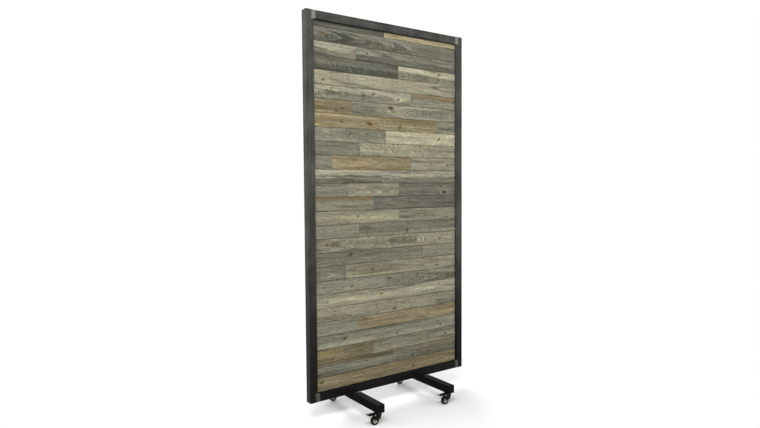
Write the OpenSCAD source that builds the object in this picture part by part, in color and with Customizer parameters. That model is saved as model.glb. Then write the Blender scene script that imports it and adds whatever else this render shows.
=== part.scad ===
// Rolling room divider: one framed wall panel clad with narrow wood boards on both faces,
// standing on two cross feet with four braked swivel casters.
// Millimetres. +Z is up, X runs along the wall, the front face looks towards -Y.
// The origin is on the floor, under the middle of the wall.

/* [Frame] */
// Overall width of the wall
frame_w = 1219.2; // [900:0.1:1500]
// Height of the frame alone, without feet and casters
frame_h = 2311.4; // [1500:0.1:2600]
// Outer side of the square steel tube
tube = 50.8; // [42:0.1:65]
// Wall thickness of the tube
tube_wall = 2.1; // [1.6:0.1:3.2]
// Outer corner radius of the tube
tube_r = 4; // [3:0.1:6]
// Thickness of the plates that close the ends of the posts
post_cap_t = 3; // [2:0.1:5]
// Width of the weld between a rail's end and a post
weld_gap = 2; // [1:0.1:4]
// Height of the fillet welds that hold the feet
fillet_weld = 5; // [3:0.1:7]

/* [Panel] */
// Gap between the panel's edge and the tubes
panel_gap = 2; // [1:0.1:5]
// Thickness of the plywood core
core_t = 9.5; // [8:0.1:18]
// Face width of a board
board_w = 83.2; // [60:0.1:140]
// Thickness of a board of middle gauge
board_t = 5; // [4:0.1:9]
// Difference between a thin, a middle and a thick board
board_step = 0.7; // [0.2:0.1:1]
// Gap between neighbouring boards
board_gap = 0.4; // [0.2:0.1:2]

/* [Lugs] */
// Length of a lug along its tube
lug_w = 36; // [30:1:60]
// Reach of a lug from its tube
lug_reach = 20; // [16:1:30]
// Thickness of a lug
lug_t = 3; // [2.5:0.1:4]
// Shank radius of a lug screw
screw_r = 1.9; // [1.5:0.1:2]
// Core left over the tip of a lug screw
screw_cover = 1.5; // [1:0.1:3]

/* [Feet] */
// Length of a foot, across the wall
foot_len = 558.8; // [450:0.1:760]
// Distance between the middles of the two feet
foot_spacing = 554; // [400:1:800]
// Thickness of a foot's plastic end cap outside the tube
foot_cap_t = 4; // [3:0.1:8]
// Length of a foot cap's plug inside the tube
foot_plug_len = 14; // [8:0.1:17]
// Distance from a foot's end to the caster's stem
caster_inset = 38; // [31:0.1:60]

/* [Casters] */
// Radius of the wheel
wheel_r = 25.4; // [21:0.1:38]
// Height from the top of the wheel to the foot
wheel_headroom = 25.4; // [21:0.1:32]
// Width of the tyre
tyre_w = 20; // [16:0.1:26]
// Gap between the tyre and each leg of the fork
leg_gap = 2; // [1:0.1:4]
// Radius where the tyre sits on the hub
hub_r = 15; // [12.5:0.1:18]
// Distance from the stem's axis to the wheel's axle
trail = 22; // [18:0.1:27]
// Radius of the threaded stem and kingpin
stem_r = 5; // [4:0.1:6]
// Height of the stem above the foot's underside
stem_len = 14; // [11.5:0.1:20]
// Radius of the fork's crown
crown_r = 20; // [19:0.1:24]
// Thickness of the fork's steel sheet
fork_t = 2.5; // [2:0.1:3]
// Radius of the axle bolt
axle_r = 3; // [2.5:0.1:3.6]
// Distance from the stem's axis to the pedal's tip
pedal_reach = 79; // [65:1:95]
// Width of the pedal's pad
pedal_w = 25; // [20:0.1:32]
// Travel of the pedal, from free to locked, in degrees
pedal_travel = 22; // [15:1:26]

/* [Hidden] */
$fn = 48;
touch = 0.08;            // running clearance between pieces that turn on each other
cut = 1;                 // how far a cutting body runs past the face it cuts
caster_h = 2 * wheel_r + wheel_headroom;
foot_z = caster_h;       // underside of the feet
frame_z = foot_z + tube; // underside of the frame
frame_top = frame_z + frame_h;
rail_len = frame_w - 2 * tube - 2 * weld_gap;
panel_w = frame_w - 2 * (tube + panel_gap);
panel_h = frame_h - 2 * (tube + panel_gap);
panel_z = frame_z + tube + panel_gap;

// Boards lie in courses, counted from the bottom. The top course is ripped to what is left.
// A strip under a fiftieth of a course is left out.
course_h = board_w + board_gap;
course_count = ceil(panel_h / course_h - 0.02);
screw_len = core_t - screw_cover;
screw_head_r = screw_r + 1.9;
countersink = 2;
// Where the butt joints of each course lie, in percent of the panel's width.
// An empty list is one full board.
joints = [
    [], [51], [37], [], [27], [84], [], [46], [19, 75],
    [74], [69], [28], [56], [38], [21, 56], [44], [11, 65], [29],
    [47], [85], [24], [65], [], [56], [27, 67], [66], [46]
];
group_count = 9;         // each face's courses are shared out over this many nodes
back_shift = 10;         // the back face starts this far down the list of joints

// Casters, in their own frame: the stem's axis is Z and the foot's underside is at 0
axle_z = wheel_r - caster_h;
axle_x = -trail;
race_t = 3;              // thickness of the stem's flange
race_r = 17.5;
ball_r = 1.9;
ball_ring_r = 10.7;
ball_count = 12;
crown_top = -(race_t + 2 * ball_r + 2 * touch);
crown_low = crown_top - fork_t;
washer_t = 2;
washer_r = 11;
head_t = 3;
head_r = 8;
boss_r = 7;              // round end of a fork leg at the axle
pin_r = 2;               // pedal's pivot pin
pin_x = -crown_r - 6;
pin_z = crown_top - 7.2;
bush_r = axle_r + 2;     // steel sleeve on the axle bolt
fork_gap = tyre_w + 2 * leg_gap;
shoe_r = 3;              // rounded tip of the brake shoe
shoe_grip = 0.3;         // space left between shoe and tyre when locked
pin_to_axle = norm([axle_x - pin_x, axle_z - pin_z]);
shoe_arm = pin_to_axle - wheel_r - shoe_grip - shoe_r;
shoe_angle = atan2(axle_z - pin_z, axle_x - pin_x) - pedal_travel;
caster_spots = [
    for (y = [-1, 1]) for (x = [-1, 1])
    [x * foot_spacing / 2, y * (foot_len / 2 - caster_inset)]
];

steel = "#3d3d3a";
bright_steel = "#8e8c84";
zinc = "#b9bab8";
black_paint = "#171716";
black_plastic = "#1d1d1c";
hub_grey = "#c9c8c2";
rubber = "#121212";
plywood = "#c4a77c";
board_tones = ["#86857a", "#6b6a62", "#a19d8b", "#938567"];

// ---- square tube ----

module rounded_square(side, r) {
    square([side, side - 2 * r], center = true);
    square([side - 2 * r, side], center = true);
    for (x = [-1, 1]) for (y = [-1, 1])
        translate([x, y] * (side / 2 - r)) circle(r);
}

module tube_section() {
    difference() {
        rounded_square(tube, tube_r);
        rounded_square(tube - 2 * tube_wall, tube_r - tube_wall);
    }
}

// Turns a body that stands along Z so that it runs along X or along Y
module along_x() rotate([90, 0, 90]) children();
module along_y() rotate([-90, 0, 0]) children();

// ---- frame ----

module post(side) {
    color(steel)
        translate([side * (frame_w - tube) / 2, 0, frame_z + post_cap_t])
            linear_extrude(frame_h - 2 * post_cap_t) tube_section();
}

module rail(z) {
    color(steel)
        translate([-rail_len / 2, 0, z + tube / 2])
            along_x() linear_extrude(rail_len) tube_section();
}

module post_caps() {
    color(steel)
        for (side = [-1, 1]) for (z = [frame_z, frame_top - post_cap_t])
            translate([side * (frame_w - tube) / 2, 0, z])
                linear_extrude(post_cap_t) rounded_square(tube, tube_r);
}

// A butt weld runs round the rail's end. In front and behind it also fills the hollow left by the post's
// rounded corner, up to half that radius from the flat, and is ground flush.
module corner_weld() {
    fill_w = tube_r / 2;
    along_x() linear_extrude(weld_gap) tube_section();
    for (y = [-1, 1])
        difference() {
            translate([-fill_w, y * (tube - tube_r) / 2 - tube_r / 2, -tube / 2 + tube_r])
                cube([fill_w, tube_r, tube - 2 * tube_r]);
            translate([-tube_r, y * (tube / 2 - tube_r), -tube / 2])
                cylinder(h = tube, r = tube_r);
        }
}

module corner_welds() {
    color(bright_steel)
        for (side = [0, 1]) for (z = [frame_z, frame_top - tube])
            mirror([side, 0, 0])
                translate([-frame_w / 2 + tube, 0, z + tube / 2]) corner_weld();
}

// ---- panel core and the lugs that hold it ----

// Each lug: its middle on the tube's inner face, and the way it points into the opening
post_lugs = [
    for (side = [-1, 1]) for (share = [0.15, 0.5, 0.85])
    [side * (frame_w / 2 - tube), frame_z + tube + share * (frame_h - 2 * tube), side < 0 ? 0 : 180]
];
rail_lugs = [
    for (side = [-1, 1]) for (share = [-0.25, 0.25])
    [share * panel_w, side < 0 ? frame_z + tube : frame_top - tube, side < 0 ? 90 : -90]
];
lug_places = concat(post_lugs, rail_lugs);
screw_spots = [for (s = [-1, 1]) [lug_reach * 0.6, s * lug_w / 4]];

// Places children in a lug's own plane: X reaches into the opening, and Z is the wall's depth,
// 0 at the core's back
module at_lugs() {
    for (place = lug_places)
        translate([place[0], core_t / 2, place[1]])
            rotate([90, -place[2], 0]) mirror([0, 0, 1]) children();
}

module lug_screw() {
    translate([0, 0, -screw_len]) cylinder(h = screw_len - countersink / 2, r = screw_r);
    translate([0, 0, -countersink]) cylinder(h = countersink, r1 = screw_r, r2 = screw_head_r);
}

module panel_lugs() {
    color(steel)
        at_lugs() difference() {
            translate([0, -lug_w / 2, -lug_t]) cube([lug_reach, lug_w, lug_t]);
            for (spot = screw_spots) translate(spot) {
                translate([0, 0, -lug_t - cut]) cylinder(h = lug_t + 2 * cut, r = screw_r);
                translate([0, 0, -countersink])
                    cylinder(h = countersink, r1 = screw_r, r2 = screw_head_r);
            }
        }
}

module lug_screws() {
    color(zinc) at_lugs() for (spot = screw_spots) translate(spot) lug_screw();
}

module core_board() {
    color(plywood)
        difference() {
            translate([-panel_w / 2, -core_t / 2, panel_z]) cube([panel_w, core_t, panel_h]);
            at_lugs() {
                translate([-cut, -lug_w / 2 - panel_gap / 2, -lug_t])
                    cube([lug_reach + cut + panel_gap / 2, lug_w + panel_gap, lug_t + cut]);
                for (spot = screw_spots)
                    translate([spot[0], spot[1], -screw_len]) cylinder(h = screw_len, r = screw_r);
            }
        }
}

// ---- boards ----

// Start and end of each board of a course, as shares of the panel's width
function board_spans(stops) = [for (k = [0 : len(stops)])
    [k == 0 ? 0 : stops[k - 1] / 100, k == len(stops) ? 1 : stops[k] / 100]];

function course_top(i) = min((i + 1) * course_h, panel_h + board_gap) - board_gap;

module course(i, face) {
    list = joints[(face > 0 ? i + back_shift : i) % len(joints)];
    spans = board_spans(list);
    for (k = [0 : len(spans) - 1]) {
        gauge = board_t + board_step * ((i * 5 + k * 4 + (face > 0 ? 1 : 0)) % 3 - 1);
        left = spans[k][0] * panel_w + (k == 0 ? 0 : board_gap / 2);
        right = spans[k][1] * panel_w - (k == len(spans) - 1 ? 0 : board_gap / 2);
        low_y = face > 0 ? core_t / 2 : -core_t / 2 - gauge;
        color(board_tones[(i + 3 * k) % len(board_tones)])
            translate([left - panel_w / 2, low_y, panel_z + i * course_h])
                cube([right - left, gauge, course_top(i) - i * course_h]);
    }
}

// Group 1 is at the bottom of its face
module boards(group, face) {
    first = floor((group - 1) * course_count / group_count);
    last = floor(group * course_count / group_count) - 1;
    for (i = [first : last]) course(i, face);
}

// ---- feet ----

module foot(side) {
    color(steel)
        difference() {
            translate([side * foot_spacing / 2, foot_cap_t - foot_len / 2, foot_z + tube / 2])
                along_y() linear_extrude(foot_len - 2 * foot_cap_t) tube_section();
            for (spot = caster_spots)
                translate([spot[0], spot[1], foot_z - cut])
                    cylinder(h = tube_wall + 2 * cut, r = stem_r + touch);
        }
}

module foot_cap() {
    plug = tube - 2 * tube_wall - 2 * touch;
    plug_r = tube_r - tube_wall;
    plug_wall = 2.5;
    linear_extrude(foot_cap_t) rounded_square(tube, tube_r);
    translate([0, 0, -foot_plug_len]) linear_extrude(foot_plug_len) difference() {
        rounded_square(plug, plug_r);
        square(plug - 2 * plug_wall, center = true);
    }
}

module foot_caps() {
    color(black_plastic)
        for (x = [-1, 1]) for (y = [0, 1])
            translate([x * foot_spacing / 2, 0, foot_z + tube / 2])
                mirror([0, y, 0])
                    translate([0, foot_len / 2 - foot_cap_t, 0]) along_y() foot_cap();
}

// Fillet welds along the corner between the bottom rail and the top of each foot. The rail's rounded
// edge leaves a hollow there, so the bead reaches under it.
module foot_weld() {
    flat = tube - 2 * tube_r;
    scoop_r = fillet_weld * 1.5;
    difference() {
        translate([-flat / 2, tube / 2 - tube_r, 0]) cube([flat, tube_r + fillet_weld, fillet_weld]);
        translate([-tube / 2, tube / 2 - tube_r, tube_r]) along_x() cylinder(h = tube, r = tube_r);
        translate([-tube / 2, tube / 2 - tube_r, tube_r]) cube([tube, tube_r, tube]);
        translate([-tube / 2, tube / 2 - tube_r - cut, -cut]) cube([tube, tube_r / 2 + cut, tube]);
        translate([-tube / 2, tube / 2 + scoop_r, scoop_r]) along_x() cylinder(h = tube, r = scoop_r);
    }
}

module foot_welds() {
    color(bright_steel)
        for (x = [-1, 1]) for (y = [0, 1])
            translate([x * foot_spacing / 2, 0, frame_z]) mirror([0, y, 0]) foot_weld();
}

module stem_nuts() {
    nut_h = 8;
    across_flats = 17;
    color(zinc)
        for (spot = caster_spots)
            translate([spot[0], spot[1], foot_z + tube_wall]) difference() {
                cylinder(h = nut_h, d = across_flats / cos(30), $fn = 6);
                translate([0, 0, -cut]) cylinder(h = nut_h + 2 * cut, r = stem_r + touch);
            }
}

// ---- casters ----

// Stem, flange and kingpin are one turned piece, and its lower end is riveted over a washer
module caster_stem() {
    skirt_t = 1.5;
    skirt_low = crown_top + 0.6;
    washer_top = crown_low - touch;
    rotate_extrude() polygon([
        [0, stem_len], [stem_r - 1, stem_len], [stem_r, stem_len - 1], [stem_r, 0],
        [race_r, 0], [race_r, skirt_low], [race_r - skirt_t, skirt_low], [race_r - skirt_t, -race_t],
        [stem_r, -race_t], [stem_r, washer_top - washer_t],
        [head_r, washer_top - washer_t], [head_r, washer_top - washer_t - head_t + 1],
        [head_r - 2, washer_top - washer_t - head_t], [0, washer_top - washer_t - head_t]
    ]);
    translate([0, 0, washer_top - washer_t]) difference() {
        cylinder(h = washer_t, r = washer_r);
        translate([0, 0, -cut]) cylinder(h = washer_t + 2 * cut, r = stem_r + touch / 2);
    }
}

module caster_stems() {
    color(zinc) for (spot = caster_spots) translate([spot[0], spot[1], foot_z]) caster_stem();
}

module swivel_balls() {
    color(zinc)
        for (spot = caster_spots) for (k = [0 : ball_count - 1])
            translate([spot[0], spot[1], foot_z - race_t - touch - ball_r])
                rotate(k * 360 / ball_count) translate([ball_ring_r, 0, 0]) sphere(ball_r);
}

// Draws a side view, X and Z, as a plate centred on the caster's middle plane
module side_plate(thickness) {
    translate([0, thickness / 2, 0]) rotate([90, 0, 0]) linear_extrude(thickness) children();
}

// A leg is deep in front of the stem and leans back under it to the axle
module fork_leg_outline() {
    ear_r = 5;
    front_x = crown_r + 0.5;
    knee_x = front_x - 8;
    knee_z = axle_z + 10;
    polygon([
        [pin_x, crown_top], [front_x, crown_top], [front_x, crown_low - 8], [knee_x, knee_z],
        [axle_x + boss_r * 0.5, axle_z - boss_r * 0.87], [axle_x - boss_r, axle_z + 1],
        [axle_x + 2, axle_z + 21], [pin_x - ear_r * 0.8, pin_z - ear_r * 0.6], [pin_x - ear_r, pin_z]
    ]);
    translate([axle_x, axle_z]) circle(boss_r);
    translate([pin_x, pin_z]) circle(ear_r);
}

module fork() {
    outer = fork_gap + 2 * fork_t;
    color(black_paint)
        difference() {
            union() {
                translate([0, 0, crown_low]) cylinder(h = fork_t, r = crown_r);
                for (y = [-1, 1])
                    translate([0, y * (fork_gap + fork_t) / 2, 0]) side_plate(fork_t) fork_leg_outline();
                translate([-crown_r + 4, -outer / 2, crown_low])
                    cube([2 * crown_r - 4 + 0.5, outer, fork_t]);
            }
            translate([0, 0, crown_low - cut]) cylinder(h = fork_t + 2 * cut, r = stem_r + touch);
            for (hole = [[axle_x, axle_z, axle_r + touch / 2], [pin_x, pin_z, pin_r]])
                translate([hole[0], 0, hole[1]]) along_y()
                    cylinder(h = outer + 2 * cut, r = hole[2], center = true);
        }
}

// Axle bolt with its nut and sleeve, and the riveted pin of the pedal
module axle() {
    outer = fork_gap + 2 * fork_t;
    bolt_head = 4;
    across_flats = 2 * axle_r + 4;
    rivet_t = 1.2;
    color(zinc) {
        translate([axle_x, 0, axle_z]) along_y() {
            translate([0, 0, -outer / 2 - bolt_head]) cylinder(h = outer + 2 * bolt_head + 2, r = axle_r);
            translate([0, 0, -outer / 2 - bolt_head])
                cylinder(h = bolt_head, d = across_flats / cos(30), $fn = 6);
        }
        translate([axle_x, 0, axle_z]) along_y() difference() {
            translate([0, 0, outer / 2]) cylinder(h = bolt_head + 1, d = across_flats / cos(30), $fn = 6);
            cylinder(h = outer * 2, r = axle_r + touch / 2);
        }
        translate([axle_x, 0, axle_z]) along_y() difference() {
            cylinder(h = fork_gap, r = bush_r, center = true);
            cylinder(h = fork_gap + 2 * cut, r = axle_r + touch / 2, center = true);
        }
        translate([pin_x, 0, pin_z]) along_y() {
            cylinder(h = outer, r = pin_r, center = true);
            for (side = [-1, 1]) translate([0, 0, side * (outer + rivet_t) / 2])
                cylinder(h = rivet_t, r = pin_r + 1.3, center = true);
        }
    }
}

module hub() {
    bore = bush_r + touch;
    boss = bush_r + 3;
    boss_half = fork_gap / 2 - 0.4;
    rim_half = tyre_w / 2 - 0.8;
    web_half = 6;
    rim_in = hub_r - 2.5;
    color(hub_grey)
        translate([axle_x, 0, axle_z]) along_y() rotate_extrude() polygon([
            [bore, -boss_half], [boss, -boss_half], [boss + 0.8, -web_half], [rim_in, -web_half],
            [rim_in + 0.6, -rim_half], [hub_r, -rim_half], [hub_r, rim_half], [rim_in + 0.6, rim_half],
            [rim_in, web_half], [boss + 0.8, web_half], [boss, boss_half], [bore, boss_half]
        ]);
}

module tyre() {
    half = tyre_w / 2;
    shoulder = 2.4;
    rounding = shoulder * 0.3;
    color(rubber)
        translate([axle_x, 0, axle_z]) along_y() rotate_extrude() polygon([
            [hub_r, -half + 0.4], [wheel_r - shoulder, -half], [wheel_r - rounding, -half + rounding],
            [wheel_r, -half + shoulder], [wheel_r, half - shoulder],
            [wheel_r - rounding, half - rounding], [wheel_r - shoulder, half], [hub_r, half - 0.4]
        ]);
}

// The pedal is up when the wheel is free. Its shoe is under the pin, and its pad points away from the stem,
// dips a little and turns up at the toe, which has cross grooves.
module pedal() {
    hub_radius = 5.5;
    inner_w = fork_gap - 2;
    wide_x = pin_x - 14;
    toe_len = 15;
    toe = [-pedal_reach, -2];
    dip = toe + [toe_len, -6.5];
    pad_t = 4;
    groove_count = 4;
    groove_pitch = toe_len / (groove_count + 1);
    slope = atan2(toe[1] - dip[1], toe_len);
    toe_r = 5;
    color(black_paint)
        difference() {
            intersection() {
                side_plate(pedal_w) union() {
                    polygon([
                        [pin_x - 1, -9], [pin_x - 8, -5.5], [pin_x - 16, -6.5], dip, toe,
                        toe - [0.8, pad_t / 2], toe + [1.5, -pad_t], dip - [0, pad_t + 1],
                        [pin_x - 16, pin_z + 0.5], [pin_x - 4, pin_z - 4]
                    ]);
                    translate([pin_x, pin_z]) circle(hub_radius);
                    translate([pin_x, pin_z]) rotate(shoe_angle) {
                        translate([0, -shoe_r]) square([shoe_arm, 2 * shoe_r]);
                        translate([shoe_arm, 0]) circle(shoe_r);
                    }
                }
                translate([0, 0, axle_z]) linear_extrude(caster_h) {
                    translate([wide_x, -inner_w / 2]) square([20, inner_w]);
                    translate([toe[0] + toe_r, -pedal_w / 2]) square([wide_x - toe[0] - toe_r, pedal_w]);
                    translate([toe[0] - 1, -pedal_w / 2 + toe_r]) square([toe_r + 1, pedal_w - 2 * toe_r]);
                    for (y = [-1, 1]) translate([toe[0] + toe_r, y * (pedal_w / 2 - toe_r)]) circle(toe_r);
                }
            }
            translate([pin_x, 0, pin_z]) along_y()
                cylinder(h = 2 * fork_gap, r = pin_r + touch, center = true);
            for (k = [1 : groove_count])
                translate([toe[0] + k * groove_pitch, -pedal_w, toe[1] - k * groove_pitch * tan(slope)])
                    rotate([0, slope, 0]) translate([-0.7, 0, -0.6]) cube([1.4, 2 * pedal_w, 3]);
        }
}

module on_caster(i) translate([caster_spots[i - 1][0], caster_spots[i - 1][1], foot_z]) children();

// ---- nodes ----

post(-1);  // left_post
post(1);  // right_post
rail(frame_top - tube);  // top_rail
rail(frame_z);  // bottom_rail
post_caps();
corner_welds();
core_board();
panel_lugs();
lug_screws();
for (i = [1 : group_count]) {
    boards(i, -1);
    boards(i, 1);
}
foot(-1);  // left_foot
foot(1);  // right_foot
foot_caps();
foot_welds();
stem_nuts();
caster_stems();
swivel_balls();
for (i = [1 : 4]) {
    on_caster(i) fork();
    on_caster(i) axle();
    on_caster(i) hub();
    on_caster(i) tyre();
    on_caster(i) pedal();
}
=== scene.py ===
import bpy
import bmesh
import math
import random
from mathutils import Matrix, Vector, noise


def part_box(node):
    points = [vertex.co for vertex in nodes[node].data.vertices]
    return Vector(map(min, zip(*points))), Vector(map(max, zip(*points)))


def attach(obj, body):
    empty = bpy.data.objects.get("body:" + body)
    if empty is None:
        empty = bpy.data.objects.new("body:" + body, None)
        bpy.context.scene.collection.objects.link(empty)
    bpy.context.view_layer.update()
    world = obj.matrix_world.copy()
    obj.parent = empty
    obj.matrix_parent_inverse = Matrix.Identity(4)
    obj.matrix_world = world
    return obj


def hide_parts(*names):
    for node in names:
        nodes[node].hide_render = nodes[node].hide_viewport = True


# Rolling room divider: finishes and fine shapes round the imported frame.
# Lengths are metres. X runs along the wall, -Y is the front and Z is up.

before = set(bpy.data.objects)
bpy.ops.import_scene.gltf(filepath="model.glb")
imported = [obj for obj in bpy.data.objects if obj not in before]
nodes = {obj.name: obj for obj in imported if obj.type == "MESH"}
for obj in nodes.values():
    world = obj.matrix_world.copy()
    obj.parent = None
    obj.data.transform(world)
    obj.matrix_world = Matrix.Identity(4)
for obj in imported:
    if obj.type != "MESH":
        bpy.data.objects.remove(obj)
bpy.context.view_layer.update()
print("frame loaded,", len(nodes), "nodes")

mergeReach = 1e-6   # corners nearer than this are one corner


def srgb(red, green, blue, alpha=1.0):
    # colour picker values, 0 to 255, to the linear values that shaders take
    def linear(value):
        value /= 255
        return value / 12.92 if value <= 0.04045 else ((value + 0.055) / 1.055) ** 2.4
    return (linear(red), linear(green), linear(blue), alpha)


def newPiece(name, bm, material, smoothAngle=35):
    mesh = bpy.data.meshes.new(name)
    bm.to_mesh(mesh)
    bm.free()
    mesh.shade_smooth()
    mesh.set_sharp_from_angle(angle=math.radians(smoothAngle))
    mesh.materials.append(material)
    piece = bpy.data.objects.new(name, mesh)
    bpy.context.scene.collection.objects.link(piece)
    return piece


def weightNormals(piece):
    # large flats stay flat beside small rounded edges
    weighted = piece.modifiers.new("flat faces", "WEIGHTED_NORMAL")
    weighted.keep_sharp = True


def place(piece, body, slotName, *standsFor):
    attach(piece, body)
    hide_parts(*standsFor)


def newMaterial(name):
    material = bpy.data.materials.new(name)
    material.use_nodes = True
    tree = material.node_tree
    return material, tree, tree.nodes["Principled BSDF"]


def feed(tree, socket, value):
    if isinstance(value, bpy.types.NodeSocket):
        tree.links.new(value, socket)
    elif value is not None:
        socket.default_value = value


def attributeOf(tree, name, output="Vector"):
    node = tree.nodes.new("ShaderNodeAttribute")
    node.attribute_name = name
    return node.outputs[output]


def objectPlace(tree):
    return tree.nodes.new("ShaderNodeTexCoord").outputs["Object"]


def stretched(tree, vector, scale, offset, turn):
    node = tree.nodes.new("ShaderNodeMapping")
    feed(tree, node.inputs["Vector"], vector)
    node.inputs["Scale"].default_value = scale
    node.inputs["Location"].default_value = offset
    node.inputs["Rotation"].default_value = turn
    return node.outputs["Vector"]


def noiseOf(tree, vector, detail, rough, bend=0.0):
    node = tree.nodes.new("ShaderNodeTexNoise")
    feed(tree, node.inputs["Vector"], vector)
    node.inputs["Scale"].default_value = 1.0
    node.inputs["Detail"].default_value = detail
    node.inputs["Roughness"].default_value = rough
    node.inputs["Distortion"].default_value = bend
    return node.outputs["Fac"]


def cloudOf(tree, vector, scale, detail, rough, bend=0.0, offset=(0, 0, 0), turn=(0, 0, 0)):
    # noise with a scale of its own along each axis, in clouds to the metre
    return noiseOf(tree, stretched(tree, vector, scale, offset, turn), detail, rough, bend)


def ranged(tree, value, low, high, toLow=0.0, toHigh=1.0, smooth=True):
    node = tree.nodes.new("ShaderNodeMapRange")
    node.interpolation_type = "SMOOTHSTEP" if smooth else "LINEAR"
    feed(tree, node.inputs["Value"], value)
    for name, number in (("From Min", low), ("From Max", high), ("To Min", toLow), ("To Max", toHigh)):
        feed(tree, node.inputs[name], number)
    return node.outputs["Result"]


def sums(tree, kind, first, second=None, third=None):
    node = tree.nodes.new("ShaderNodeMath")
    node.operation = kind
    for socket, value in zip(node.inputs, (first, second, third)):
        feed(tree, socket, value)
    return node.outputs["Value"]


def times(tree, first, second):
    return sums(tree, "MULTIPLY", first, second)


def mixed(tree, share, first, second, kind="MIX"):
    node = tree.nodes.new("ShaderNodeMix")
    node.data_type = "RGBA"
    node.blend_type = kind
    feed(tree, node.inputs["Factor"], share)
    feed(tree, node.inputs[6], first)     # the colour sockets of the node
    feed(tree, node.inputs[7], second)
    return node.outputs[2]


def tinted(tree, colour, tint):
    return mixed(tree, 1.0, colour, tint, "MULTIPLY")


def partsOf(tree, vector):
    node = tree.nodes.new("ShaderNodeSeparateXYZ")
    feed(tree, node.inputs[0], vector)
    return node.outputs


def vectorOf(tree, x, y, z):
    node = tree.nodes.new("ShaderNodeCombineXYZ")
    for socket, value in zip(node.inputs, (x, y, z)):
        feed(tree, socket, value)
    return node.outputs[0]


def ramped(tree, value, between, low, high, smooth=False):
    # a grey multiplier that goes from low to high
    level = ranged(tree, value, between[0], between[1], low, high, smooth)
    node = tree.nodes.new("ShaderNodeCombineColor")
    for socket in node.inputs:
        feed(tree, socket, level)
    return node.outputs[0]


def bumped(tree, shader, height, strength, distance):
    node = tree.nodes.new("ShaderNodeBump")
    feed(tree, node.inputs["Height"], height)
    node.inputs["Strength"].default_value = strength
    node.inputs["Distance"].default_value = distance
    tree.links.new(node.outputs["Normal"], shader.inputs["Normal"])


# the tones that a board's finish can name, as colour picker values
boardTones = {
    "coal": (93, 93, 83),
    "slate": (103, 102, 92),
    "lead": (111, 110, 98),
    "iron": (118, 116, 103),
    "pewter": (125, 123, 108),
    "ash": (133, 130, 113),
    "driftwood": (140, 137, 119),
    "pale": (152, 148, 127),
    "bleached": (166, 161, 138),
    "bone": (182, 176, 150),
    "honey": (178, 165, 131),
    "tan": (150, 140, 113),
    "umber": (134, 125, 101),
    "olive": (126, 118, 95),
}

woodLook = {
    # these multiply a board's own tone
    "tints": {
        "slate": (0.50, 0.50, 0.49, 1),    # thick grey skin
        "straw": (1.30, 1.29, 1.22, 1),    # thin skin
        "cream": (1.66, 1.60, 1.42, 1),    # worn through
        "brown": (0.90, 0.80, 0.62, 1),
        "gold": (1.36, 1.20, 0.90, 1),
        "stain": (0.86, 0.64, 0.40, 1),
        "knotRust": (1.02, 0.80, 0.52, 1),
        "knotGloom": (0.46, 0.45, 0.43, 1),
        "dirtAndGapShade": (0.34, 0.33, 0.31, 1),
    },
    "lateWood": (0.62, 0.61, 0.59, 1),     # multiplies what it lies on
    "brownKnot": (104, 80, 52),
    "blackKnot": (52, 49, 44),
    "knotHeart": (34, 31, 27),
    "check": (44, 41, 36),
    "rings": 150.0,                        # year rings in a metre
    "crest": (0.74, 1.42),                 # below and above a crest's line
    "streaks": (0.64, 1.36),               # darkest and lightest
    "fibres": (0.68, 1.28),
    "flecks": (0.78, 1.20),
    "sawRidge": 0.85,
    "sawFurrow": 0.70,
    "sawSpread": 2.2,                      # how unevenly the strokes follow each other
    "rough": (0.92, 0.74),
    "gloss": 0.2,
    "bumpShare": 0.85,
    "bumpDepth": 0.0009,
}


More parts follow.
